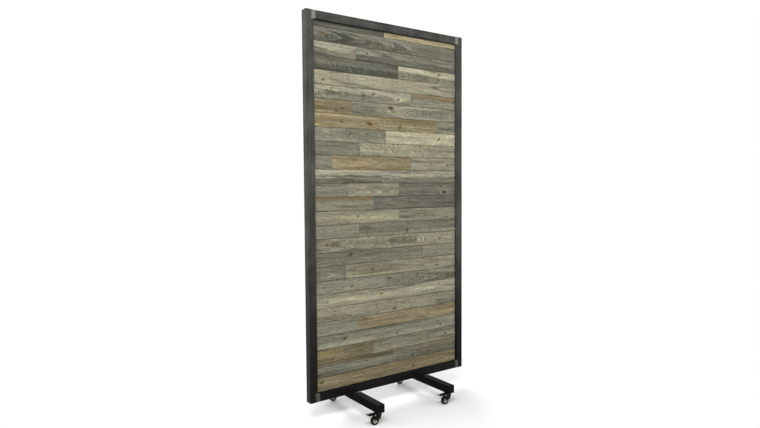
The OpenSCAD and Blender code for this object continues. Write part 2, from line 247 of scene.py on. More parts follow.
def woodMaterial():
    material, tree, shader = newMaterial("weatheredBoards")
    grain = attributeOf(tree, "grainAt")                       # along, across the rings, which board
    tone = attributeOf(tree, "boardTone", "Color")
    marks = partsOf(tree, attributeOf(tree, "boardMarks"))     # sawn, brown, worn
    across = partsOf(tree, attributeOf(tree, "acrossAt"))      # height on the board, saw phase, crest
    knot = partsOf(tree, attributeOf(tree, "knotAt"))          # distance, rust, blackness
    here = objectPlace(tree)
    tints = {name: tinted(tree, tone, tint) for name, tint in woodLook["tints"].items()}

    bands = cloudOf(tree, grain, (1.9, 38, 1), 4, 0.55, 0.25)
    patches = cloudOf(tree, grain, (6.5, 98, 1), 8, 0.72, 0.25, offset=(3.1, 0, 0))
    streaks = cloudOf(tree, grain, (7, 190, 1), 7, 0.70, offset=(0, 5.2, 0))
    fibres = cloudOf(tree, grain, (34, 1500, 1), 5, 0.70, offset=(0, 0, 2.7))
    flecks = cloudOf(tree, grain, (42, 170, 1), 3, 0.70, offset=(0.7, 0, 4.4))

    # grey skin: slate where it is thick, straw and cream where it is worn off
    skin = sums(tree, "MULTIPLY_ADD", patches, 0.5, times(tree, bands, 0.5))
    colour = mixed(tree, ranged(tree, skin, 0.49, 0.37), tone, tints["slate"])
    colour = mixed(tree, ranged(tree, skin, 0.51, 0.63), colour, tints["straw"])
    wear = times(tree, ranged(tree, patches, 0.57, 0.66), marks["Z"])
    colour = mixed(tree, wear, colour, tints["cream"])

    # brown boards show their old heartwood, in tongues along the grain
    tongues = sums(tree, "MULTIPLY_ADD", streaks, 0.5, times(tree, bands, 0.5))
    brown = times(tree, ranged(tree, tongues, 0.52, 0.42), marks["Y"])
    gold = times(tree, ranged(tree, tongues, 0.53, 0.62), marks["Y"])
    colour = mixed(tree, brown, colour, tints["brown"])
    colour = mixed(tree, gold, colour, tints["gold"])

    # a crest: the upper edge of a board, bleached or stained where water ran over it
    edgeLine = sums(tree, "MULTIPLY_ADD", sums(tree, "ADD", bands, patches), 0.9, across["X"])
    crested = tinted(tree, colour, ramped(tree, edgeLine, (1.36, 1.46), *woodLook["crest"]))
    colour = mixed(tree, sums(tree, "MAXIMUM", across["Z"], 0), colour, crested)
    stain = times(tree, ranged(tree, edgeLine, 1.60, 1.68), times(tree, across["Z"], -1))
    colour = mixed(tree, sums(tree, "MAXIMUM", stain, 0), colour, tints["stain"])

    # year rings: soft early wood, a thin dark late line
    wander = times(tree, bands, 1.2)
    ringPlace = sums(tree, "MULTIPLY_ADD", partsOf(tree, grain)["Y"], woodLook["rings"], wander)
    phase = sums(tree, "FRACT", ringPlace)
    late = times(tree, ranged(tree, phase, 0.40, 0.86), ranged(tree, phase, 1.0, 0.9))
    lateShare = times(tree, late, ranged(tree, streaks, 0.35, 0.65, 0.15, 0.75))
    colour = mixed(tree, lateShare, colour, tinted(tree, colour, woodLook["lateWood"]))

    colour = tinted(tree, colour, ramped(tree, streaks, (0.32, 0.68), *woodLook["streaks"]))
    colour = tinted(tree, colour, ramped(tree, fibres, (0.30, 0.70), *woodLook["fibres"]))
    colour = tinted(tree, colour, ramped(tree, flecks, (0.34, 0.66), *woodLook["flecks"]))

    # slanted saw strokes of uneven width, kept in patches
    loose = cloudOf(tree, here, (7, 7, 16), 2, 0.60)
    sawPhase = sums(tree, "MULTIPLY_ADD", loose, woodLook["sawSpread"], times(tree, across["Y"], 0.30))
    stroke = noiseOf(tree, vectorOf(tree, sawPhase, times(tree, across["X"], 1.3), 0.0), 2, 0.5)
    sawPatch = times(tree, ranged(tree, skin, 0.42, 0.54), marks["X"])
    sawPatch = times(tree, sawPatch, ranged(tree, loose, 0.36, 0.56, 0.1, 1.0))
    ridge = times(tree, ranged(tree, stroke, 0.50, 0.66), sawPatch)
    furrow = times(tree, ranged(tree, stroke, 0.50, 0.34), sawPatch)
    colour = mixed(tree, times(tree, ridge, woodLook["sawRidge"]), colour, tints["cream"])
    colour = mixed(tree, times(tree, furrow, woodLook["sawFurrow"]), colour, tints["slate"])

    # knots: rusty halo, brown ring, near black heart, and a pale swirl round a ghost
    ragged = cloudOf(tree, here, (150, 150, 150), 3, 0.65)
    reach = sums(tree, "ADD", knot["X"], sums(tree, "MULTIPLY_ADD", ragged, 2.4, -1.2))
    rust = times(tree, ranged(tree, reach, 2.6, 1.0), sums(tree, "MAXIMUM", knot["Y"], 0))
    colour = mixed(tree, rust, colour, tints["knotRust"])
    ghost = sums(tree, "MAXIMUM", times(tree, knot["Y"], -1), 0)
    colour = mixed(tree, times(tree, ranged(tree, reach, 3.6, 3.1), ghost), colour, tints["straw"])
    gloom = times(tree, ranged(tree, reach, 2.4, 0.9), knot["Z"])
    colour = mixed(tree, gloom, colour, tints["knotGloom"])
    ring = mixed(tree, knot["Z"], srgb(*woodLook["brownKnot"]), srgb(*woodLook["blackKnot"]))
    colour = mixed(tree, ranged(tree, reach, 1.15, 0.80, 0, 0.8), colour, ring)
    colour = mixed(tree, ranged(tree, reach, 0.55, 0.30, 0, 0.9), colour, srgb(*woodLook["knotHeart"]))

    # drying checks run along the grain, and dirt with painted gap shade lies along both long edges
    checks = cloudOf(tree, grain, (9, 380, 1), 2, 0.50, offset=(8.3, 2.2, 0))
    check = times(tree, ranged(tree, checks, 0.69, 0.73), ranged(tree, bands, 0.42, 0.52))
    colour = mixed(tree, times(tree, check, 0.85), colour, srgb(*woodLook["check"]))
    # dirt and painted shade: both long edges are darkened as in the gaps between boards
    fromMiddle = sums(tree, "ABSOLUTE", sums(tree, "SUBTRACT", across["X"], 0.5))
    dirtAndGapShade = ranged(tree, sums(tree, "MULTIPLY_ADD", patches, 0.10, fromMiddle), 0.50, 0.555, 0, 0.6)
    colour = mixed(tree, dirtAndGapShade, colour, tints["dirtAndGapShade"])
    tree.links.new(colour, shader.inputs["Base Color"])

    feed(tree, shader.inputs["Roughness"], ranged(tree, streaks, 0.3, 0.7, *woodLook["rough"]))
    shader.inputs["Specular IOR Level"].default_value = woodLook["gloss"]
    height = sums(tree, "MULTIPLY_ADD", fibres, 0.40, times(tree, streaks, 0.8))
    height = sums(tree, "MULTIPLY_ADD", late, 0.30, height)
    height = sums(tree, "MULTIPLY_ADD", ridge, 0.45, height)
    height = sums(tree, "MULTIPLY_ADD", check, -1.4, height)
    height = sums(tree, "MULTIPLY_ADD", ranged(tree, reach, 0.4, 0.9), 0.5, height)
    bumped(tree, shader, height, woodLook["bumpShare"], woodLook["bumpDepth"])
    return material


steelLook = {
    "dark": (58, 58, 55),
    "light": (80, 80, 76),
    "millLight": (106, 106, 99),
    "millDark": (40, 40, 38),
    "scratch": (140, 139, 130),
    "groundDark": (88, 87, 78),       # bare steel where a weld was ground
    "groundLight": (150, 148, 135),
    "groundRust": (98, 88, 72),
    # dust and painted top light on the upper face of the feet
    "dust": (60, 60, 56),
    "footWeldDark": (26, 26, 24),
    "footWeldLight": (44, 43, 40),
    "footGroundDark": (84, 83, 76),
    "footGroundLight": (140, 138, 128),
    "gloss": 0.09,
    "bandHalf": 0.0135,               # half the width of a ground band
    "bandWander": 0.026,              # how ragged its edges are
    "footGroundIn": 0.014,            # middle of the bright stretch, in from a foot weld's end
    "footGroundEdge": (0.014, 0.009), # from there, where it starts and where it is full
    "topLightAndDustDepth": 0.0012,
    "blackBelow": 0.25,               # heights between which the painted shade goes from full to none
    "shadeNoneAbove": 1.32,
    # how much of the colour the painted shade leaves at the feet
    "blackest": 0.10,
    "groundDeepestShade": 0.46,                  # the ground bands take less painted shade
}


def steelColour(name):
    return srgb(*steelLook[name])


def distanceFrom(tree, value, mark):
    return sums(tree, "ABSOLUTE", sums(tree, "SUBTRACT", value, mark))


def heightShade(tree, shade, least):
    # painted shade: the colour is painted darker towards the feet
    height = partsOf(tree, objectPlace(tree))["Z"]
    between = (steelLook["blackBelow"], steelLook["shadeNoneAbove"])
    return ramped(tree, height, between, least * shade, shade, True)


def weldBands(tree, here):
    # 1 on the ground bands where the rails meet the posts
    axes = partsOf(tree, here)
    wander = steelLook["bandWander"]
    ragged = sums(tree, "MULTIPLY_ADD", cloudOf(tree, here, (60, 60, 60), 4, 0.70), wander, -wander / 2)
    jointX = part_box("right_post")[0].x
    fromJoint = distanceFrom(tree, sums(tree, "ABSOLUTE", axes["X"]), jointX)
    half = steelLook["bandHalf"]
    across = ranged(tree, sums(tree, "ADD", fromJoint, ragged), half + 0.005, half - 0.006)
    rails = [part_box(name) for name in ("bottom_rail", "top_rail")]
    fromRails = [distanceFrom(tree, axes["Z"], (low.z + high.z) / 2) for low, high in rails]
    railHalf = (rails[0][1].z - rails[0][0].z) / 2
    fromRail = sums(tree, "ADD", sums(tree, "MINIMUM", *fromRails), ragged)
    return times(tree, across, ranged(tree, fromRail, railHalf + 0.006, railHalf - 0.001))


def steelMaterial(name, stretch, shade=1.0, gloss=steelLook["gloss"], topLightAndDust=0.0):
    # blackened mill steel under a thin wax, bright where the corner welds were ground
    material, tree, shader = newMaterial(name)
    here = objectPlace(tree)
    cloud = cloudOf(tree, here, (9, 9, 5), 5, 0.60, 0.4)
    mill = cloudOf(tree, here, stretch, 7, 0.68)
    hair = cloudOf(tree, here, [value * 9 for value in stretch], 4, 0.65, offset=(4, 1, 2))
    colour = mixed(tree, ranged(tree, cloud, 0.35, 0.68), steelColour("dark"), steelColour("light"))
    colour = mixed(tree, ranged(tree, mill, 0.52, 0.68, 0, 0.5), colour, steelColour("millLight"))
    colour = mixed(tree, ranged(tree, mill, 0.46, 0.28, 0, 0.5), colour, steelColour("millDark"))
    colour = mixed(tree, ranged(tree, hair, 0.66, 0.76, 0, 0.5), colour, steelColour("scratch"))
    # painted shade: the steel is painted darker towards the feet
    colour = tinted(tree, colour, heightShade(tree, shade, steelLook["blackest"]))

    swirl = cloudOf(tree, here, (900, 200, 160), 2, 0.50, turn=(0, 0.5, 0))
    bright = mixed(tree, swirl, steelColour("groundDark"), steelColour("groundLight"))
    # the ground bands take the painted shade too, less deep
    bright = tinted(tree, bright, heightShade(tree, 1.0, steelLook["groundDeepestShade"]))
    colour = mixed(tree, weldBands(tree, here), colour, bright)
    if topLightAndDust:
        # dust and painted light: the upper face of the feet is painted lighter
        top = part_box("left_foot")[1].z
        height = sums(tree, "MULTIPLY_ADD", mill, 0.0006, partsOf(tree, here)["Z"])
        dust = ranged(tree, height, top - steelLook["topLightAndDustDepth"], top, 0, topLightAndDust)
        colour = mixed(tree, dust, colour, steelColour("dust"))
    tree.links.new(colour, shader.inputs["Base Color"])

    feed(tree, shader.inputs["Roughness"], ranged(tree, mill, 0.3, 0.7, 0.52, 0.40, False))
    shader.inputs["Specular IOR Level"].default_value = gloss
    bumped(tree, shader, sums(tree, "MULTIPLY_ADD", hair, 0.4, mill), 0.25, 0.0004)
    return material


def weldMaterial():
    material, tree, shader = newMaterial("groundWeld")
    here = objectPlace(tree)
    swirl = cloudOf(tree, here, (700, 300, 160), 3, 0.60, turn=(0, 0.5, 0))
    cloud = cloudOf(tree, here, (90, 90, 90), 3, 0.60)
    colour = mixed(tree, swirl, steelColour("groundDark"), steelColour("groundLight"))
    colour = mixed(tree, ranged(tree, cloud, 0.55, 0.7, 0, 0.6), colour, steelColour("groundRust"))
    # painted shade: the welds are painted darker towards the feet
    colour = tinted(tree, colour, heightShade(tree, 1.0, steelLook["groundDeepestShade"]))
    tree.links.new(colour, shader.inputs["Base Color"])
    feed(tree, shader.inputs["Roughness"], ranged(tree, swirl, 0.3, 0.7, 0.34, 0.52))
    shader.inputs["Metallic"].default_value = 0.4
    bumped(tree, shader, swirl, 0.3, 0.0003)
    return material


def footWeldMaterial():
    # blackened with the frame, and left bright at the end that was ground
    material, tree, shader = newMaterial("footWeld")
    here = objectPlace(tree)
    lump = cloudOf(tree, here, (260, 120, 120), 3, 0.60)
    marks = [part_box(name)[1].x - steelLook["footGroundIn"] for name in ("left_foot", "right_foot")]
    gaps = [distanceFrom(tree, partsOf(tree, here)["X"], mark) for mark in marks]
    fromEnd = sums(tree, "MULTIPLY_ADD", lump, 0.006, sums(tree, "MINIMUM", *gaps))
    colour = mixed(tree, lump, steelColour("footWeldDark"), steelColour("footWeldLight"))
    bright = mixed(tree, lump, steelColour("footGroundDark"), steelColour("footGroundLight"))
    colour = mixed(tree, ranged(tree, fromEnd, *steelLook["footGroundEdge"]), colour, bright)
    tree.links.new(colour, shader.inputs["Base Color"])
    feed(tree, shader.inputs["Roughness"], ranged(tree, lump, 0.3, 0.7, 0.4, 0.6))
    shader.inputs["Specular IOR Level"].default_value = 0.2
    bumped(tree, shader, lump, 0.4, 0.0006)
    return material


# plated pieces: two tones, and the roughness of their clean and dull places
platedLooks = {
    "blackZinc": {"dark": (34, 34, 33), "light": (62, 61, 58), "rough": (0.32, 0.50), "metal": 0.7},
    "brightZinc": {"dark": (150, 150, 146), "light": (214, 213, 206), "rough": (0.24, 0.42), "metal": 0.95},
    "hubPlating": {"dark": (168, 165, 154), "light": (222, 219, 206), "rough": (0.22, 0.38), "metal": 0.95},
}


def platedMaterial(name):
    look = platedLooks[name]
    material, tree, shader = newMaterial(name)
    here = objectPlace(tree)
    cloud = cloudOf(tree, here, (160, 160, 160), 4, 0.60)
    spots = cloudOf(tree, here, (900, 900, 900), 2, 0.50)
    dark, light = srgb(*look["dark"]), srgb(*look["light"])
    clean, dull = look["rough"]
    colour = mixed(tree, ranged(tree, cloud, 0.35, 0.65), dark, light)
    colour = mixed(tree, ranged(tree, spots, 0.64, 0.74, 0, 0.35), colour, dark)
    tree.links.new(colour, shader.inputs["Base Color"])
    feed(tree, shader.inputs["Roughness"], ranged(tree, cloud, 0.3, 0.7, dull, clean))
    shader.inputs["Metallic"].default_value = look["metal"]
    bumped(tree, shader, spots, 0.12, 0.0002)
    return material


# black pieces: "dark" and "light" are two clouded tones, "spot" is what scuffs or dusts them
blackLooks = {
    "blackElectrocoat": {"dark": (10, 10, 9), "light": (20, 20, 18), "spot": (50, 49, 46), "gloss": 0.12},
    "mouldedCap": {"dark": (11, 11, 10), "light": (20, 20, 18), "gloss": 0.05},
    "casterRubber": {"dark": (11, 11, 11), "spot": (38, 37, 34), "gloss": 0.12},
}


def paintMaterial():
    # black electrocoat on pressed steel
    look = blackLooks["blackElectrocoat"]
    material, tree, shader = newMaterial("blackElectrocoat")
    here = objectPlace(tree)
    cloud = cloudOf(tree, here, (60, 60, 60), 4, 0.60)
    orangePeel = cloudOf(tree, here, (1300, 1300, 1300), 2, 0.50)
    scuff = ranged(tree, cloudOf(tree, here, (240, 240, 90), 3, 0.70), 0.64, 0.74, 0, 0.4)
    colour = mixed(tree, cloud, srgb(*look["dark"]), srgb(*look["light"]))
    colour = mixed(tree, scuff, colour, srgb(*look["spot"]))
    tree.links.new(colour, shader.inputs["Base Color"])
    feed(tree, shader.inputs["Roughness"], ranged(tree, cloud, 0.3, 0.7, 0.34, 0.52))
    shader.inputs["Specular IOR Level"].default_value = look["gloss"]
    bumped(tree, shader, orangePeel, 0.10, 0.0002)
    return material


def plasticMaterial():
    look = blackLooks["mouldedCap"]
    material, tree, shader = newMaterial("mouldedCap")
    here = objectPlace(tree)
    stipple = cloudOf(tree, here, (1500, 1500, 1500), 2, 0.50)
    cloud = cloudOf(tree, here, (40, 40, 40), 3, 0.60)
    colour = mixed(tree, cloud, srgb(*look["dark"]), srgb(*look["light"]))
    tree.links.new(colour, shader.inputs["Base Color"])
    feed(tree, shader.inputs["Roughness"], ranged(tree, stipple, 0.3, 0.7, 0.48, 0.62))
    shader.inputs["Specular IOR Level"].default_value = look["gloss"]
    bumped(tree, shader, stipple, 0.25, 0.0002)
    return material


def rubberMaterial():
    look = blackLooks["casterRubber"]
    material, tree, shader = newMaterial("casterRubber")
    here = objectPlace(tree)
    dust = cloudOf(tree, here, (70, 70, 70), 5, 0.70)
    pores = cloudOf(tree, here, (1100, 1100, 1100), 2, 0.50)
    dusted = ranged(tree, dust, 0.45, 0.75, 0, 0.5)
    colour = mixed(tree, dusted, srgb(*look["dark"]), srgb(*look["spot"]))
    tree.links.new(colour, shader.inputs["Base Color"])
    feed(tree, shader.inputs["Roughness"], ranged(tree, dust, 0.3, 0.7, 0.62, 0.85))
    shader.inputs["Specular IOR Level"].default_value = look["gloss"]
    bumped(tree, shader, pores, 0.3, 0.0002)
    return material


plyLook = {
    "dark": (150, 118, 80),
    "light": (196, 168, 124),
    "plies": 4000,          # how fast the plies follow each other through the board
    "rough": 0.8,
}


def plywoodMaterial():
    material, tree, shader = newMaterial("plywoodCore")
    here = objectPlace(tree)
    plies = sums(tree, "SINE", times(tree, partsOf(tree, here)["Y"], plyLook["plies"]))
    streaks = cloudOf(tree, here, (400, 400, 14), 3, 0.60)
    colour = mixed(tree, ranged(tree, plies, -0.3, 0.3), srgb(*plyLook["dark"]), srgb(*plyLook["light"]))
    colour = tinted(tree, colour, ramped(tree, streaks, (0.25, 0.75), 0.8, 1.1))
    tree.links.new(colour, shader.inputs["Base Color"])
    shader.inputs["Roughness"].default_value = plyLook["rough"]
    bumped(tree, shader, streaks, 0.3, 0.0003)
    return material


woodFinish = woodMaterial()
postSteel = steelMaterial("postSteel", (95, 95, 2.5))
# painted shade: the rails and lugs are a darker copy of the post steel, as they catch more light
shadedRailSteel = steelMaterial("shadedRailSteel", (2.5, 95, 95), shade=0.8)
footSteel = steelMaterial("footSteel", (95, 2.5, 95), gloss=0.012, topLightAndDust=0.6)
weldSteel = weldMaterial()
footWeldSteel = footWeldMaterial()
darkZinc = platedMaterial("blackZinc")
brightZinc = platedMaterial("brightZinc")
hubFinish = platedMaterial("hubPlating")
casterPaint = paintMaterial()
capPlastic = plasticMaterial()
tyreRubber = rubberMaterial()
plywood = plywoodMaterial()
print("materials ready")


cameraPlan = {
    "place": (-2.2194, -3.0309, 1.4194),
    "heading": 35.23,    # degrees to the right of straight ahead
    "down": 2.819,
    "roll": -0.387,
    "lens": 27.523,
    "sensor": 36,
}

lightPlan = {
    "key": {"place": (-2.3, -2.7, 4.4), "aim": (0.0, 0.0, 1.9), "size": (2.4, 1.6), "power": 152},
    "fill": {"place": (3.0, -2.8, 3.6), "aim": (0.1, 0.0, 1.7), "size": (1.8, 1.8), "power": 18},
    "side": {"place": (-3.4, 1.4, 3.0), "aim": (-0.5, 0.0, 1.8), "size": (1.6, 2.0), "power": 40},
    "rear": {"place": (1.6, 3.4, 3.6), "aim": (0.0, 0.0, 1.6), "size": (2.4, 1.8), "power": 90},
    "world": 0.64,
}

floorPlan = {
    "radius": 14,
    "segments": 96,
    "thrown": 0.42,          # how pale it is for the light that it throws back up
    "seen": 0.94,            # and to look at
    "fade": (0.35, 1.7),     # distances between which it turns into the white background
    "rough": 0.9,
    "gloss": 0.1,
}


def makeCamera():
    lens = bpy.data.cameras.new("view")
    lens.lens = cameraPlan["lens"]
    lens.sensor_width = cameraPlan["sensor"]
    camera = bpy.data.objects.new("view", lens)
    bpy.context.scene.collection.objects.link(camera)
    turn = Matrix.Rotation(math.radians(-cameraPlan["heading"]), 4, "Z")
    tip = Matrix.Rotation(math.radians(90 - cameraPlan["down"]), 4, "X")
    roll = Matrix.Rotation(math.radians(cameraPlan["roll"]), 4, "Z")
    camera.matrix_world = Matrix.Translation(cameraPlan["place"]) @ turn @ tip @ roll
    bpy.context.scene.camera = camera


def makeLight(name, plan):
    lamp = bpy.data.lights.new(name, "AREA")
    lamp.shape = "RECTANGLE"
    lamp.size, lamp.size_y = plan["size"]
    lamp.energy = plan["power"]
    light = bpy.data.objects.new(name, lamp)
    bpy.context.scene.collection.objects.link(light)
    light.location = plan["place"]
    sight = Vector(plan["aim"]) - Vector(plan["place"])
    light.rotation_euler = sight.to_track_quat("-Z", "Y").to_euler()


def seenDirectly(tree):
    # 1 for rays that show the background: straight, in a gloss, or through glass
    path = tree.nodes.new("ShaderNodeLightPath").outputs
    seen = sums(tree, "MAXIMUM", path["Is Camera Ray"], path["Is Glossy Ray"])
    return sums(tree, "MAXIMUM", seen, path["Is Transmission Ray"])


def makeWorld():
    world = bpy.data.worlds.new("studio")
    bpy.context.scene.world = world
    world.use_nodes = True
    tree = world.node_tree
    background = tree.nodes["Background"]
    background.inputs["Color"].default_value = (1, 1, 1, 1)
    strength = ranged(tree, seenDirectly(tree), 0, 1, lightPlan["world"], 1.0, False)
    feed(tree, background.inputs["Strength"], strength)


def makeFloor():
    bm = bmesh.new()
    bmesh.ops.create_circle(bm, cap_ends=True, segments=floorPlan["segments"], radius=floorPlan["radius"])
    material, tree, shader = newMaterial("paleFloor")
    pale = ramped(tree, seenDirectly(tree), (0, 1), floorPlan["thrown"], floorPlan["seen"])
    tree.links.new(pale, shader.inputs["Base Color"])
    shader.inputs["Roughness"].default_value = floorPlan["rough"]
    shader.inputs["Specular IOR Level"].default_value = floorPlan["gloss"]
    glow = tree.nodes.new("ShaderNodeEmission")
    blend = tree.nodes.new("ShaderNodeMixShader")
    length = tree.nodes.new("ShaderNodeVectorMath")
    length.operation = "LENGTH"
    feed(tree, length.inputs[0], objectPlace(tree))
    far = ranged(tree, length.outputs["Value"], *floorPlan["fade"])
    feed(tree, blend.inputs["Fac"], times(tree, far, seenDirectly(tree)))
    tree.links.new(shader.outputs["BSDF"], blend.inputs[1])
    tree.links.new(glow.outputs["Emission"], blend.inputs[2])
    tree.links.new(blend.outputs["Shader"], tree.nodes["Material Output"].inputs["Surface"])
    floor = newPiece("floor", bm, material)


makeCamera()
for lightName in ("key", "fill", "side", "rear"):
    makeLight(lightName, lightPlan[lightName])
makeWorld()
makeFloor()
bpy.context.scene.view_settings.view_transform = "Standard"
print("camera, lights and floor ready")


boardWork = {
    "groups": 9,                   # nodes that each face's boards are shared out over
    "stepAlong": 0.0070,           # spacing of the face's grid
    "stepAcross": 0.0028,
    "crowding": 0.72,              # how much its rows crowd towards the long edges
    "edgeRound": 0.0008,           # least radius of an eased edge
    "edgeWear": 0.0009,            # how much more it is where it is worn
    "relief": 0.00022,             # hills and hollows of the weathered face
    "deepest": 0.0028,             # nothing goes in further than this
    "shrink": 0.0005,              # how far an edge wanders in
    "shrinkReach": 0.012,          # and how much of the face goes with it
    "chip": 0.0011,                # depth of a chipped place
    "chipReach": 0.004,
    "chipsAbove": 0.42,            # a lower value chips more places
    "knotDish": 0.00035,           # how far a knot is dished
    "knotRim": 1.6,                # where its dish ends, in knot radii
    "knotSize": (0.0030, 0.0058),
    "bigKnot": 1.7,
    "sawTurn": (0.40, 0.66),       # slant of the saw strokes
    "sawPitch": (0.013, 0.020),    # and their spacing
    "archedShare": 0.3,            # boards cut so that their rings show as arches
    "ringWander": 0.006,           # how far the rings stray on their way along a board
    "ringRipple": 0.0016,
    "bandDepth": 0.42,             # contrast of the bands of lighter and darker skin
    "tideDepth": 0.45,
    "toneLimits": (0.45, 1.6),
    "warmth": 0.05,                # how much warmer the lighter skin is
    "smoothAngle": 50,
    "seed": 41,
    "backSeed": 1041,
}

# Each course of the front from the top down, one entry for each board: its tone, what marks it, and
# where its knots are, in percent of its length. A knot can be black, big, a spike cut lengthwise, or
# a ghost with a pale swirl round it
frontFinishes = [
    ["coal", "honey worn"],
    ["lead sawn worn crest 9", "iron worn"],
    ["driftwood worn crest 97", "lead crest worn black18", "lead worn crest 52"],
    ["coal sawn crest", "pale crest black7 black69 71"],
    ["pale arched 6"],
    ["driftwood crest 17 49 59 black86", "driftwood stained rough 3"],
    ["umber brown 57 75", "driftwood banded bigblack35"],
    ["tan brown 20 big42 47 bigspike67 80", "driftwood"],
    ["ash banded rough spike48", "bone worn spike75"],
    ["pewter", "pale sawn"],
    ["ash", "tan brown rough 27 82", "pale 43 black82"],
    ["driftwood banded worn crest", "driftwood crest worn"],
    ["ash", "pale worn", "lead black74 bigghost80"],
    ["ash stained", "lead 42"],
    ["pale worn gold 18 49", "pale rough"],
    ["driftwood spike20", "ash banded bigspike47"],
    ["pale sawn banded 10 65", "pale sawn 1 60"],
    ["pewter gold black30", "driftwood 77"],
    ["pewter worn", "pale gold 11 32 70", "pale 40"],
    ["pewter banded 50", "driftwood black5 44 95"],
    ["bleached worn banded 7 43 87"],
    ["pale rough 21 47 62 63", "ash"],
    ["driftwood banded 10", "tan brown 5 63"],
    ["driftwood banded 18 spike40 54 88"],
    ["olive brown 27 78 87", "driftwood gold worn 87"],
    ["pewter stained banded 63", "ash brown black30 55"],
    ["umber brown 3 66"],
]


def boardBoxes(nodeName):
    # lowest and highest corner of each separate board in a node
    bm = bmesh.new()
    bm.from_mesh(nodes[nodeName].data)
    bmesh.ops.remove_doubles(bm, verts=bm.verts, dist=mergeReach)
    left = set(bm.verts)
    boxes = []
    while left:
        found = [left.pop()]
        for vert in found:
            for edge in vert.link_edges:
                other = edge.other_vert(vert)
                if other in left:
                    left.discard(other)
                    found.append(other)
        low = Vector([min(vert.co[axis] for vert in found) for axis in range(3)])
        high = Vector([max(vert.co[axis] for vert in found) for axis in range(3)])
        boxes.append((low, high))
    bm.free()
    return sorted(boxes, key=lambda box: (round(box[0].z, 3), box[0].x))


def sawnBoard(low, high, finish, chance):
    # what one board is like: its tone, its rings, its saw strokes and its knots, all in metres
    words = finish.split()
    width = high.x - low.x
    height = high.z - low.z
    middle = (low.z + high.z) / 2
    arched = "arched" in words or chance.random() < boardWork["archedShare"]
    side = chance.choice((-1, 1))
    brown = 0.9 if "brown" in words else 0.45 if "gold" in words else chance.choice((0, 0, 0, 0.1))
    board = {
        "low": low,
        "high": high,
        "seed": chance.uniform(0, 90),
        "tone": srgb(*boardTones[words[0]]),
        "marks": (
            1.0 if "sawn" in words else 0.4 if "rough" in words else chance.choice((0, 0, 0, 0.15)),
            brown,
            1.0 if "worn" in words else chance.uniform(0.2, 0.6),
            1.0,
        ),
        "crest": 0.8 if "crest" in words else -0.8 if "stained" in words else 0.0,
        "banding": 1.0 if "banded" in words else chance.uniform(0.3, 0.6),
        "sawTurn": chance.uniform(*boardWork["sawTurn"]),
        "sawPitch": chance.uniform(*boardWork["sawPitch"]),
        "pith": middle + side * (chance.uniform(0, 0.2) * height if arched else chance.uniform(0.05, 0.12)),
        "depth": chance.uniform(0.010, 0.022) if arched else chance.uniform(0.02, 0.06),
        "taper": side * (chance.uniform(0.05, 0.10) if arched else chance.uniform(0.004, 0.014)),
        "knots": [],
    }
    for word in words[1:]:
        percent = word.lstrip("abcdefghijklmnopqrstuvwxyz")
        if percent:
            dark, spike, ghost = "black" in word, "spike" in word, "ghost" in word
            size = chance.uniform(*boardWork["knotSize"]) * (boardWork["bigKnot"] if "big" in word else 1.0)
            board["knots"].append({
                "x": low.x + width * int(percent) / 100,
                "z": low.z + height * chance.uniform(0.2, 0.8),
                "long": size * (chance.uniform(2.2, 3.0) if spike else chance.uniform(1.2, 2.4)),
                "high": size * (0.9 if spike else 1.0),
                "turn": chance.uniform(0.6, 1.3) if spike else chance.uniform(-0.7, 0.7),
                "rust": -0.8 if ghost else 0.1 if dark else chance.uniform(0.2, 1.0),
                "black": 0.95 if dark or ghost else chance.uniform(0.2, 0.8),
            })
    return board


def grainOf(board, x, z):
    # place along the board and place across its year rings, bent round the knots
    seed = board["seed"]
    nearest, rust, black = 36.0, 0.0, 0.0   # squared distance in knot radii
    for knot in board["knots"]:
        aside, above = x - knot["x"], z - knot["z"]
        cosine, sine = math.cos(knot["turn"]), math.sin(knot["turn"])
        away = ((aside * cosine + above * sine) / knot["long"]) ** 2
        away += ((above * cosine - aside * sine) / knot["high"]) ** 2
        if away < nearest:
            nearest, rust, black = away, knot["rust"], knot["black"]
        if away < 30:
            z -= above * 0.85 * math.exp(-away / 5)
    wander = boardWork["ringWander"] * noise.noise((x * 2.6, seed, 0))
    ripple = boardWork["ringRipple"] * noise.noise((x * 9, z * 22, seed))
    offset = z + (wander + ripple) - board["pith"]
    ring = math.hypot(offset, board["depth"]) - board["taper"] * (x - board["low"].x)
    return x + seed, ring + seed * 0.37, (math.sqrt(nearest), rust, black)


def toneAt(board, along, ring, height):
    # lengthwise bands of lighter and darker skin
    seed = board["seed"]
    wave = noise.noise((along * 1.1, ring * 21, seed)) + 0.5 * noise.noise((along * 3.7, ring * 48, seed + 4))
    tide = noise.noise((along * 0.8, height * 2.6, seed + 7))
    level = 1 + board["banding"] * (boardWork["bandDepth"] * wave + boardWork["tideDepth"] * tide)
    least, most = boardWork["toneLimits"]
    level = max(least, min(most, level))
    warm = 1 + boardWork["warmth"] * (level - 1)
    red, green, blue, alpha = board["tone"]
    return red * level * warm, green * level, blue * level / warm, alpha


